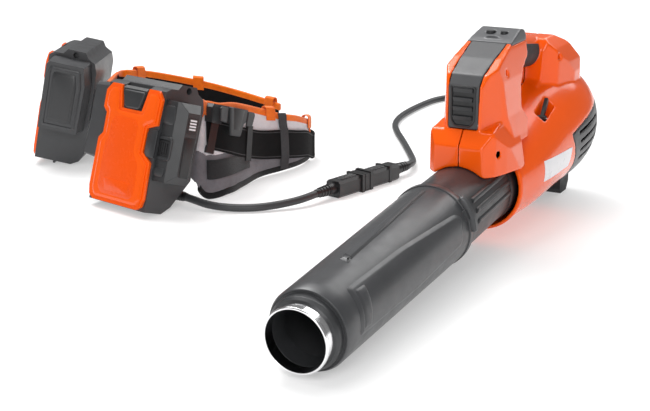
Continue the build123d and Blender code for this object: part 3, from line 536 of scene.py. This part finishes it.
def cable_details():
    """The ribbed strain reliefs, and the latches on the connector."""
    relief = [(9.6, 0), (9.6, 3), (8.2, 3.4), (8.2, 6), (9.2, 6.4), (9.2, 9.6), (7.9, 10), (7.9, 12.6),
              (8.8, 13), (8.8, 16.2), (7.6, 16.6), (7.6, 19.2), (8.3, 19.6), (8.3, 22.8), (7.2, 23.2),
              (7.0, 30), (6.4, 31)]
    quarter = Matrix.Rotation(math.pi / 2, 4, "Z")
    toward_dock = CONNECTOR @ Matrix.Rotation(math.pi, 4, "Z")
    toward_blower = CONNECTOR @ Matrix.Translation((CONNECTOR_LENGTH, 0, 0))
    from_inlet = BLOWER @ Matrix.Translation((INLET_X, INLET_Y, INLET_Z)) @ quarter
    from_gland = DOCKS["front_dock"] @ Matrix.Translation((GLAND_X, GLAND_Y, GLAND_Z))
    for name, matrix, scale in [
        ("socket_strain_relief", toward_dock, 1.0), ("plug_strain_relief", toward_blower, 1.0),
        ("inlet_strain_relief", from_inlet, 1.0), ("gland_strain_relief", from_gland, 0.95),
    ]:
        lathe(name, matrix, [(r * scale, s) for r, s in relief], BLACK, steps=36)
    for name, x in (("socket_latch", 44), ("plug_latch", 118)):
        outline = rounded([(x - 20, -7), (x + 20, -7), (x + 20, 7), (x - 20, 7)], 3)
        slab(name, outline, [(0, 12.6), (0, 13.6), (1.2, 14.8)], flat(CONNECTOR), DARK)
        for row in range(4):
            rib = rounded([(x - 12 + 7 * row, -6), (x - 9 + 7 * row, -6), (x - 9 + 7 * row, 6),
                           (x - 12 + 7 * row, 6)], 0.8)
            slab(f"{name}_rib_{row}", rib, [(0, 14.4), (0, 15.2), (0.6, 15.6)], flat(CONNECTOR), BLACK)


sleeve_details()
pillar_details()
cable_details()


# ---- dock details ----
def cover_face(dock):
    """A place on the front of a dock's cover: u across, v up, h out of it."""
    matrix = DOCKS[dock]
    return lambda u, v, h: matrix @ Vector((u, -CAP_DEPTH - h, v))


def side_face(dock, x):
    """A place on a dock's side at x: u is the depth, v the height, h further out."""
    matrix = DOCKS[dock]
    way = 1 if x > 0 else -1
    return lambda u, v, h: matrix @ Vector((x + way * h, u, v))


def bulge_face(dock):
    """A place on the tapered outer face of the bulge."""
    return side_face(dock, -DOCK_HALF - BULGE_THICK)


def dock_details(dock):
    """The panels on a dock's cover and bulge, and on its battery's ends and faces."""
    battery = BATTERY_BODY[dock]
    matrix = DOCKS[dock]
    place = cover_face(dock)
    border = rounded([
        (-58, 18), (-50, 7), (47, 7), (57, 16), (55, 73), (34, 88), (36, 133), (56, 142), (58, 174),
        (50, 184), (38, 184), (28, 149), (-28, 149), (-38, 184), (-50, 184), (-58, 174), (-58, 152),
        (-49, 146), (-49, 106), (-58, 98)], 5)
    slab(f"{dock}_cover_bevel", border, [(0, -0.8), (0, 0.1), (3.5, 1.9), (4.2, 2.0)], place, ORANGE)
    panel = rounded([(-44, 26), (-36, 14), (34, 14), (42, 24), (40, 70), (24, 88), (24, 132), (18, 140),
                     (-30, 140), (-38, 130), (-38, 104), (-44, 96)], 6)
    slab(f"{dock}_cover_panel", panel, [(0, 1.0), (0, 2.1), (1.4, 2.5)], place, ORANGE_DEEP)
    foot = rounded([(-26, 20), (26, 20), (31, 40), (-31, 40)], 3)
    slab(f"{dock}_cover_foot", foot, [(0, 1.9), (0, 2.6), (1.6, 3.2)], place, ORANGE_DEEP)

    bulge = bulge_face(dock)
    outer = rounded([(16, 73), (76, 73), (78, 152), (73, 182), (20, 182), (16, 173)], 7)
    slab(f"{dock}_side_frame", outer, [(0, -1.0), (0, 0.4), (2.2, 2.0), (4.4, 2.0), (5.2, 0.6)], bulge, GREY)
    bridge = rounded([(44, 92), (50, 86), (66, 86), (66, 130), (50, 130), (44, 124)], 2)
    slab(f"{dock}_button_bridge", bridge, [(0, -0.5), (0, 2.6), (1.4, 3.6)],
         lambda u, v, h: matrix @ Vector((u, 4 - h, v)), DARK)
    inner = rounded([(25, 84), (68, 84), (69, 150), (65, 173), (28, 173), (25, 166)], 4)
    slab(f"{dock}_side_panel", inner, [(0, 0.2), (0, 0.9), (0.8, 1.5)], bulge, DARK)
    line = rounded([(29, 89), (64, 89), (65, 149), (61, 168), (32, 168), (29, 162)], 3)
    slab(f"{dock}_side_line", line, [(0, 1.2), (0, 1.7), (0.5, 1.9)], bulge, DARK)

    end = side_face(dock, BATTERY_END)
    stripe = rounded([(24, 64), (44, 64), (46, 128), (22, 128)], 3)
    slab(f"{dock}_battery_end_panel", stripe, [(0, -0.6), (0, 0.5), (1.0, 1.1)], end, BLACK, body=battery)
    for row in range(4):
        low = 140 + 4.6 * row
        bar = rounded([(27, low), (41, low), (41, low + 2.6), (27, low + 2.6)], 0.6, steps=3)
        slab(f"{dock}_gauge_bar_{row}", bar, [(0, 0.2), (0, 0.7)], end, BRIGHT, body=battery)
    for name, y, way in (("front", BATTERY_FRONT, -1), ("rear", BATTERY_REAR, 1)):
        def around(u, v, h, y=y, way=way):
            return matrix @ Vector((u, y + way * h, v))
        ring = rounded([(66.5, 86), (91, 86), (95, 90), (95, 120), (91, 124), (66.5, 124)], 2)
        collar(f"{dock}_battery_{name}_frame", ring, (67, 91, 92, 118), around, DARK, battery)
        notch = rounded([(20, 60), (84, 60), (88, 66), (88, 74), (20, 74)], 3)
        slab(f"{dock}_battery_{name}_band", notch, [(0, -0.5), (0, 0.8), (1.2, 1.6)], around, DARK,
             body=battery)
        upper = rounded([(14, 146), (88, 142), (92, 150), (88, 172), (14, 174)], 4)
        slab(f"{dock}_battery_{name}_shoulder", upper, [(0, -0.5), (0, 0.8), (1.6, 1.8)], around, DARK,
             body=battery)


def collar(name, outline, opening, place, material, body):
    """A raised frame with a rectangular opening of (left, right, low, high)."""
    left, right, low, high = opening
    bm = bmesh.new()
    around = [Vector(p) for p in outline]
    inner = []
    for point in around:
        inner.append(Vector((min(max(point.x, left), right), min(max(point.y, low), high))))
    layers = [(around, -0.4), (around, 1.0), (inset(around, 1.0), 2.2), (inset(inner, -0.6), 2.2),
              (inner, -0.4)]
    if area_of(around) < 0:
        layers = [(list(reversed(ring)), height) for ring, height in layers]
    rings = [[bm.verts.new(place(p.x, p.y, h)) for p in ring] for ring, h in layers]
    for first, second in zip(rings, rings[1:] + rings[:1]):
        for index in range(len(first)):
            after = (index + 1) % len(first)
            quad = [first[index], first[after], second[after], second[index]]
            if len({tuple(v.co) for v in quad}) > 2:
                bm.faces.new(quad)
    finished(name, bm, material, body)


def latch_details(dock):
    """A rounded tongue over the latch, which turns with it."""
    matrix = DOCKS[dock]
    tongue = rounded([(-18, 160), (-14, 155.5), (14, 155.5), (18, 160), (25, 184), (-25, 184)], 5)
    slab(f"{dock}_latch_face", tongue, [(0, -0.6), (0, 0.8), (2.0, 2.6), (2.6, 2.7)],
         lambda u, v, h: matrix @ Vector((u, 0.4 - h, v)), DARK, body=LATCH_BODY[dock])


for dock in DOCKS:
    dock_details(dock)
    latch_details(dock)


# ---- belt ----
def in_belt_of(dock, point):
    """A point in a dock's axes, in the belt's."""
    return BELT.inverted() @ DOCKS[dock] @ Vector(point)


def behind_dock(dock, x, low, high):
    """A pad's station behind a dock, at x across it."""
    x = -x if dock == "side_dock" else x
    return in_belt_of(dock, (x, PAD_BEHIND, low)), in_belt_of(dock, (x, PAD_BEHIND, high))


def station(low_xy, high_xy, low, high):
    """A pad's station: its lower and its upper point."""
    return Vector((*low_xy, low)), Vector((*high_xy, high))


NEAR_PAD = [
    behind_dock("front_dock", -52, 66, 158),
    behind_dock("front_dock", 40, 62, 166),
    station((-460, 542), (-474, 566), 2, 157),
    station((-441, 582), (-464, 594), 2, 150),
    station((-443, 632), (-461, 640), 2, 142),
    station((-446, 695), (-453, 697), 3, 124),
    station((-431, 748), (-435, 748), 4, 105),
    station((-424, 785), (-427, 786), 4, 95),
    station((-424, 815), (-426, 816), 4, 85),
    station((-431, 845), (-432, 846), 3, 75),
]
FAR_PAD = [
    station((-512, 886), (-512, 885), 12, 88),
    station((-552, 891), (-551, 889), 9, 95),
    station((-602, 884), (-600, 879), 6, 107),
    station((-652, 866), (-648, 860), 3, 120),
    station((-700, 838), (-694, 826), 2, 134),
    station((-742, 790), (-735, 782), 2, 148),
    station((-756, 730), (-745, 728), 2, 158),
    behind_dock("side_dock", -36, 12, 160),
    behind_dock("side_dock", 40, 16, 158),
]
# The webbing's lower and upper edge at each station, as parts of the pad's height.
NEAR_SPANS = [
    (0.52, 0.84), (0.45, 0.79), (0.35, 0.72), (0.26, 0.68), (0.22, 0.73), (0.17, 0.72), (0.12, 0.725),
    (0, 0.66),
]
FAR_SPANS = [(0.03, 0.62), (0.18, 0.72), (0.27, 0.75), (0.33, 0.74), (0.36, 0.73), (0.38, 0.71), (0.40, 0.70)]
FOLD = [
    station((-425, 857), (-425, 857), 3, 49),
    station((-434, 871), (-434, 871), 4, 49),
    station((-455, 883), (-455, 883), 6, 51),
    station((-484, 891), (-484, 891), 10, 55),
]


def curved(points, where):
    """A Catmull-Rom curve through the points, at a fractional point number."""
    index = min(int(where), len(points) - 2)
    t = where - index
    a = points[max(index - 1, 0)]
    b, c = points[index], points[index + 1]
    d = points[min(index + 2, len(points) - 1)]
    square = (2 * a - 5 * b + 4 * c - d) * t ** 2
    cube = (3 * b - a - 3 * c + d) * t ** 3
    return 0.5 * (2 * b + (c - a) * t + square + cube)


class Band:
    """A strip through stations of a lower and an upper point, in the belt's millimetres."""

    def __init__(self, stations):
        self.low = [s[0] for s in stations]
        self.high = [s[1] for s in stations]
        self.last = len(stations) - 1

    def edge(self, where, part):
        """A point at a station number and a part of the height."""
        low, high = curved(self.low, where), curved(self.high, where)
        return low + (high - low) * part

    def axes(self, where):
        """The directions along, outwards and up at a station number."""
        step = 0.02
        before, after = max(where - step, 0), min(where + step, self.last)
        run = (self.edge(after, 0.5) - self.edge(before, 0.5)).normalized()
        up = (self.edge(where, 1) - self.edge(where, 0)).normalized()
        return run, run.cross(up).normalized(), up

    def point(self, where, part, out):
        """A point in the frame, out millimetres from the band's middle surface."""
        return BELT @ (self.edge(where, part) + self.axes(where)[1] * out)


NEAR, FAR = Band(NEAR_PAD), Band(FAR_PAD)


def on_pad(band, heights):
    """Stations that lie on a band's outer face."""
    rows = []
    for where, (low, high), out in heights:
        outward = band.axes(where)[1] * out
        rows.append((band.edge(where, low) + outward, band.edge(where, high) + outward))
    return rows


def inflate(piece, cap, pin):
    """Blows a closed cushion up a little as cloth; no point moves further than the cap."""
    mesh = piece.data
    rest = np.array([v.co for v in mesh.vertices])
    group = piece.vertex_groups.new(name="seams")
    group.add([i for i, held in enumerate(pin(rest)) if held], 1.0, "REPLACE")
    cloth = piece.modifiers.new("cloth", "CLOTH")
    cloth.settings.quality = 6
    cloth.settings.use_pressure = True
    cloth.settings.uniform_pressure_force = 4.0
    cloth.settings.vertex_group_mass = "seams"
    cloth.settings.effector_weights.gravity = 0.0
    scene = bpy.context.scene
    for number in range(1, 21):
        scene.frame_set(number)
    graph = bpy.context.evaluated_depsgraph_get()
    blown = bpy.data.meshes.new_from_object(piece.evaluated_get(graph))
    moved = np.array([v.co for v in blown.vertices]) - rest
    reach = np.linalg.norm(moved, axis=1, keepdims=True)
    moved *= np.minimum(1.0, cap / np.maximum(reach, 1e-9))
    piece.modifiers.clear()
    mesh.vertices.foreach_set("co", (rest + moved).ravel())
    mesh.update()
    scene.frame_set(1)


def pad_mesh(name, band, columns):
    """The pad's closed starting form: thick in the middle and thin along its sewn edges."""
    rows = 16
    seam_half, start_half = 1.4, 4.2        # half its thickness at a seam and in the middle
    bm = bmesh.new()
    rings = []
    for column in range(columns + 1):
        where = band.last * column / columns
        ends = min(column, columns - column) / 3
        ring = []
        for side in (1, -1):
            for row in range(rows + 1):
                part = row / rows if side > 0 else 1 - row / rows
                crown = max(0.0, 1 - abs(2 * part - 1) ** 5) * min(1.0, 0.4 + 0.6 * ends)
                out = side * (seam_half + (start_half - seam_half) * crown)
                ring.append(bm.verts.new(band.point(where, 0.015 + 0.97 * part, out)))
        rings.append(ring)
    skin(bm, rings)
    bm.faces.new(rings[0])
    bm.faces.new(rings[-1])
    bmesh.ops.recalc_face_normals(bm, faces=bm.faces)
    mesh = bpy.data.meshes.new(name)
    bm.to_mesh(mesh)
    bm.free()
    piece = bpy.data.objects.new(name, mesh)
    bpy.context.scene.collection.objects.link(piece)
    return piece


def applied(piece):
    """Turns the piece's modifiers into its mesh."""
    graph = bpy.context.evaluated_depsgraph_get()
    mesh = bpy.data.meshes.new_from_object(piece.evaluated_get(graph))
    piece.modifiers.clear()
    old = piece.data
    piece.data = mesh
    bpy.data.meshes.remove(old)


def padded_band(name, band, node):
    """A padded pad: light outside above its split, darker below, black lining inside."""
    columns = 46
    split = 0.45                            # the part of the height where the two cloths meet
    levels = 32                             # heights looked up between the pad's edges
    piece = pad_mesh(name, band, columns)
    remesh = piece.modifiers.new("even", "REMESH")
    remesh.mode = "VOXEL"
    remesh.voxel_size = 4 * MM
    applied(piece)
    samples = []
    for step in range(12 * columns + 1):
        where = band.last * step / (12 * columns)
        outward = band.axes(where)[1]
        for row in range(levels + 1):
            part = row / levels
            samples.append((BELT @ band.edge(where, part), outward, part, where))
    tree = KDTree(len(samples))
    for index, sample in enumerate(samples):
        tree.insert(sample[0], index)
    tree.balance()

    def near(point):
        _, index, _ = tree.find(point)
        return samples[index]

    def held(points):
        flags = []
        for point in points:
            _, outward, part, where = near(Vector(point))
            quilt = abs((where * 1.6) % 1.0 - 0.5) < 0.035
            flags.append(part < 0.05 or part > 0.95 or quilt)
        return flags

    inflate(piece, SWELL * MM, held)
    smooth = piece.modifiers.new("smooth", "SUBSURF")
    smooth.levels = 1
    smooth.render_levels = 1
    applied(piece)
    mesh = piece.data
    for material in (FABRIC, FABRIC_DARK, LINING):
        mesh.materials.append(material)
    for polygon in mesh.polygons:
        middle, outward, part, _ = near(polygon.center)
        outside = (Vector(polygon.center) - middle).dot(outward) > 0
        polygon.material_index = (0 if part > split else 1) if outside else 2
        polygon.use_smooth = True
    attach(piece, ROOT)
    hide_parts(node)


padded_band("near_pad_fabric", NEAR, "belt_pad_near")
padded_band("far_pad_fabric", FAR, "belt_pad_far")


def edge_binding(name, band, last, part, material, wide, tall, lift, first=0.0):
    """A folded tape sewn over a pad's edge."""
    frames = []
    steps = int((last - first) * 16)
    for step in range(steps + 1):
        where = first + (last - first) * step / steps
        _, outward, up = band.axes(where)
        middle = BELT @ (band.edge(where, part) + up * lift)
        frames.append((middle, outward * MM, up * MM))
    sides = 14
    profile = []
    for step in range(sides):
        angle = 2 * math.pi * step / sides
        a, b = math.cos(angle), math.sin(angle)
        across = math.copysign(abs(a) ** 0.7, a) * wide / 2
        profile.append((across, math.copysign(abs(b) ** 0.5, b) * tall / 2))
    sweep(name, frames, profile, material)


edge_binding("near_top_binding", NEAR, 9.0, 1.0, BINDING, 7.5, 13, lift=-5.0)
edge_binding("far_top_binding", FAR, 8.0, 1.0, BINDING, 7.5, 13, lift=-5.0)
edge_binding("near_bottom_binding", NEAR, 9.0, 0.0, BINDING_BLACK, 6.5, 12, lift=5.2, first=1.6)
edge_binding("far_bottom_binding", FAR, 8.0, 0.0, BINDING_BLACK, 6.5, 12, lift=5.2)


def belt_loops():
    """The tape loops that stand on the pads' upper edges, in one mesh."""
    bm = bmesh.new()
    arch = [(-6.0, -16), (-6.3, -6), (-6.4, 2), (-5.0, 6.2), (-1.6, 8.0), (1.6, 8.0), (5.0, 6.2), (6.4, 2),
            (6.3, -6), (6.0, -16)]
    half_wide, half_thick = 10, 0.9
    for band, where in [(NEAR, 1.7), (NEAR, 5.5), (NEAR, 8.6), (FAR, 0.6), (FAR, 3.4), (FAR, 5.35)]:
        run, outward, up = band.axes(where)
        top = band.edge(where, 1.0)
        rings = []
        for index, (out, rise) in enumerate(arch):
            before, after = arch[max(index - 1, 0)], arch[min(index + 1, len(arch) - 1)]
            tangent = Vector((after[0] - before[0], after[1] - before[1])).normalized()
            normal = Vector((tangent.y, -tangent.x)) * half_thick
            ring = []
            for along, side in ((-half_wide, 1), (-half_wide, -1), (half_wide, -1), (half_wide, 1)):
                a, b = out + normal.x * side, rise + normal.y * side
                ring.append(bm.verts.new(BELT @ (top + run * along + outward * a + up * b)))
            rings.append(ring)
        skin(bm, rings)
        bm.faces.new(rings[0])
        bm.faces.new(rings[-1])
    piece = finished("belt_loop_tapes", bm, BINDING, ROOT)
    soft = piece.modifiers.new("soft_edges", "BEVEL")
    soft.width = 0.5 * MM
    soft.segments = 2
    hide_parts("belt_loops")


belt_loops()


def webbing():
    """The waist webbing on the outside of both pads and round the near pad's end."""
    out = PAD_HALF + 1.8
    near = on_pad(NEAR, [(2 + k, span, out) for k, span in enumerate(NEAR_SPANS)])
    far = on_pad(FAR, [(k, span, out) for k, span in enumerate(FAR_SPANS)])
    band = Band(near + FOLD + far)
    frames = []
    steps = band.last * 10
    for step in range(steps + 1):
        where = band.last * step / steps
        _, outward, up = band.axes(where)
        middle = band.edge(where, 0.5)
        height = (band.edge(where, 1) - band.edge(where, 0)).length
        frames.append((BELT @ middle, up * MM * height / WEBBING, outward * MM))
    piece = sweep("waist_webbing", frames, strap_profile(WEBBING, WEBBING_THICK), STRAP)
    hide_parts("belt_webbing")
    for row, part in enumerate((0.08, 0.92)):
        stitch = []
        for step in range(steps + 1):
            where = band.last * step / steps
            _, outward, up = band.axes(where)
            middle = band.edge(where, part) + outward * 1.25
            stitch.append((BELT @ middle, up * MM, outward * MM))
        sweep(f"waist_webbing_seam_{row}", stitch, strap_profile(1.4, 0.5), STRAP_GREY)


webbing()


def crossing_strap():
    """The grey tape that runs down the near pad, over the waist webbing."""
    heights = [(1.02, 4.5), (0.98, 6.4), (0.86, 6.6), (0.78, 7.6), (0.74, 9.3), (0.5, 9.6), (0.26, 9.3),
               (0.19, 7.4), (0.12, 6.4), (0.03, 5.2)]
    frames = []
    where = 6.0                             # the station on the near pad that it runs down
    run, outward, _ = NEAR.axes(where)
    points = [NEAR.edge(where, part) + outward * out for part, out in heights]
    for index, point in enumerate(points):
        before, after = points[max(index - 1, 0)], points[min(index + 1, len(points) - 1)]
        tangent = (after - before).normalized()
        frames.append((BELT @ point, run * MM, run.cross(tangent).normalized() * MM))
    sweep("near_pad_crossing_tape", frames, strap_profile(20, 1.6), STRAP_GREY)


crossing_strap()


def end_tape():
    """The orange tape sewn down the near pad's end, under its standing loop."""
    where, steps = 8.75, 12
    run, outward, _ = NEAR.axes(where)
    frames = []
    for step in range(steps + 1):
        part = 1.0 - 0.36 * step / steps
        frames.append((NEAR.point(where, part, 4.9), run * MM, outward * MM))
    sweep("near_pad_end_tape", frames, strap_profile(7, 1.6), BINDING)


end_tape()


def pad_patch(name, band, first, last, low, high, out, material):
    """A flat piece of cloth sewn on a pad, between two stations and two heights."""
    thick = 1.4
    columns, rows = 20, 8
    bm = bmesh.new()
    sheets = []
    for lift in (out, out + thick):
        grid = []
        for column in range(columns + 1):
            where = first + (last - first) * column / columns
            line = []
            for row in range(rows + 1):
                edge = min(column, columns - column, row, rows - row) == 0
                level = lift - (thick * 0.5 if edge and lift > out else 0)
                line.append(bm.verts.new(band.point(where, low + (high - low) * row / rows, level)))
            grid.append(line)
        sheets.append(grid)
    for grid in sheets:
        for column in range(columns):
            for row in range(rows):
                near, far = grid[column], grid[column + 1]
                bm.faces.new((near[row], far[row], far[row + 1], near[row + 1]))
    border = [(c, 0) for c in range(columns)] + [(columns, r) for r in range(rows)]
    border += [(c, rows) for c in range(columns, 0, -1)] + [(0, r) for r in range(rows, 0, -1)]
    for (c0, r0), (c1, r1) in zip(border, border[1:] + border[:1]):
        bm.faces.new((sheets[0][c0][r0], sheets[0][c1][r1], sheets[1][c1][r1], sheets[1][c0][r0]))
    finished(name, bm, material, ROOT, sharp=60)


def bracket_details():
    """The raised jaws of the tool holder on the belt, either side of its V channel."""
    out = Vector((1, -0.04, 0)).normalized()
    across = Vector((0.015, 0.957, -0.29)).normalized()
    across = (across - out * across.dot(out)).normalized()
    axes = Matrix((across, out.cross(across), out)).transposed().to_4x4()
    place = flat(BELT @ Matrix.Translation((-455.5, 606, 113)) @ axes @ Matrix.Translation((0, 14, 0)))
    jaws = rounded([(-27, 15), (27, 15), (15, -31), (-15, -31)], 3)
    slab("holder_jaws", jaws, [(0, 16.5), (0, 19.0), (1.4, 20.6)], place, DARK)
    throat = rounded([(-17, 14.5), (17, 14.5), (8, -21), (-8, -21)], 2)
    slab("holder_throat", throat, [(0, 20.0), (0, 20.7), (0.4, 20.9)], place, BLACK)
    for name, way in (("left", -1), ("right", 1)):
        corners = [(31, 13), (50, 13), (53, 9), (49, -10), (30, -12)]
        plate = rounded([(way * u, v) for u, v in corners], 2.5)
        slab(f"holder_plate_{name}", plate, [(0, 17.0), (0, 18.4), (1.2, 19.4)], place, DARK)


bracket_details()
pad_patch("near_pad_hook_patch", NEAR, 2.0, 4.35, 0.20, 0.40, 5.6, HOOK)


# ---- camera, light and floor ----
CAMERA_FROM_RING = Vector((0.64008, -1.16116, 0.59478))     # metres from the outlet ring's lowest front point
CAMERA_DOWN, CAMERA_TURN = 16.66, 27.38                     # degrees below level and to the left


def stage_and_light():
    """The pale floor, the soft studio light and the camera."""
    scene = bpy.context.scene
    scene.view_settings.view_transform = "Standard"
    camera_data = bpy.data.cameras.new("camera")
    camera_data.lens = 72
    camera_data.sensor_width = 36
    camera = bpy.data.objects.new("camera", camera_data)
    scene.collection.objects.link(camera)
    camera.location = Vector(((ring_low.x + ring_high.x) / 2, ring_low.y, ring_low.z)) + CAMERA_FROM_RING
    camera.rotation_euler = (math.radians(90 - CAMERA_DOWN), 0, math.radians(CAMERA_TURN))
    scene.camera = camera

    floor_mesh = bpy.data.meshes.new("floor")
    bm = bmesh.new()
    corners = [bm.verts.new((x, y, -0.0005)) for x, y in ((-12, -12), (12, -12), (12, 12), (-12, 12))]
    bm.faces.new(corners)
    bm.to_mesh(floor_mesh)
    bm.free()
    floor = bpy.data.objects.new("floor", floor_mesh)
    scene.collection.objects.link(floor)
    material, _, shader = nodes_of("floor")
    shader.inputs["Base Color"].default_value = (0.62, 0.62, 0.62, 1)
    shader.inputs["Roughness"].default_value = 0.9
    shader.inputs["Emission Color"].default_value = (1, 1, 1, 1)
    shader.inputs["Emission Strength"].default_value = 0.40
    shader.inputs["Specular IOR Level"].default_value = 0.0
    floor_mesh.materials.append(material)

    world = bpy.data.worlds.new("studio")
    scene.world = world
    world.use_nodes = True
    tree = world.node_tree
    background = tree.nodes["Background"]
    background.inputs["Color"].default_value = (1, 1, 1, 1)
    background.inputs["Strength"].default_value = 0.22
    seen = tree.nodes.new("ShaderNodeBackground")
    seen.inputs["Color"].default_value = (1, 1, 1, 1)
    path = tree.nodes.new("ShaderNodeLightPath")
    mix = tree.nodes.new("ShaderNodeMixShader")
    tree.links.new(path.outputs["Is Camera Ray"], mix.inputs["Fac"])
    tree.links.new(background.outputs["Background"], mix.inputs[1])
    tree.links.new(seen.outputs["Background"], mix.inputs[2])
    tree.links.new(mix.outputs["Shader"], tree.nodes["World Output"].inputs["Surface"])

    middle = BELT @ Vector((-330, 700, 100))
    data = bpy.data.lights.new("sky_panel", "SUN")
    data.energy = 1.9
    data.angle = math.radians(50)
    sun = bpy.data.objects.new("sky_panel", data)
    sun.rotation_euler = Vector((1.0, -0.5, -2.6)).to_track_quat("-Z", "Y").to_euler()
    scene.collection.objects.link(sun)
    for name, place, size, power in [
        ("key", (-1.3, 0.5, 2.7), 1.5, 46), ("fill", (1.0, -2.4, 1.3), 1.4, 34),
        ("back", (0.6, 2.4, 2.0), 1.8, 34),
    ]:
        data = bpy.data.lights.new(name, "AREA")
        data.size = size
        data.energy = power
        light = bpy.data.objects.new(name, data)
        light.location = middle + Vector(place)
        light.rotation_euler = (middle - light.location).to_track_quat("-Z", "Y").to_euler()
        scene.collection.objects.link(light)


stage_and_light()
bpy.context.view_layer.update()
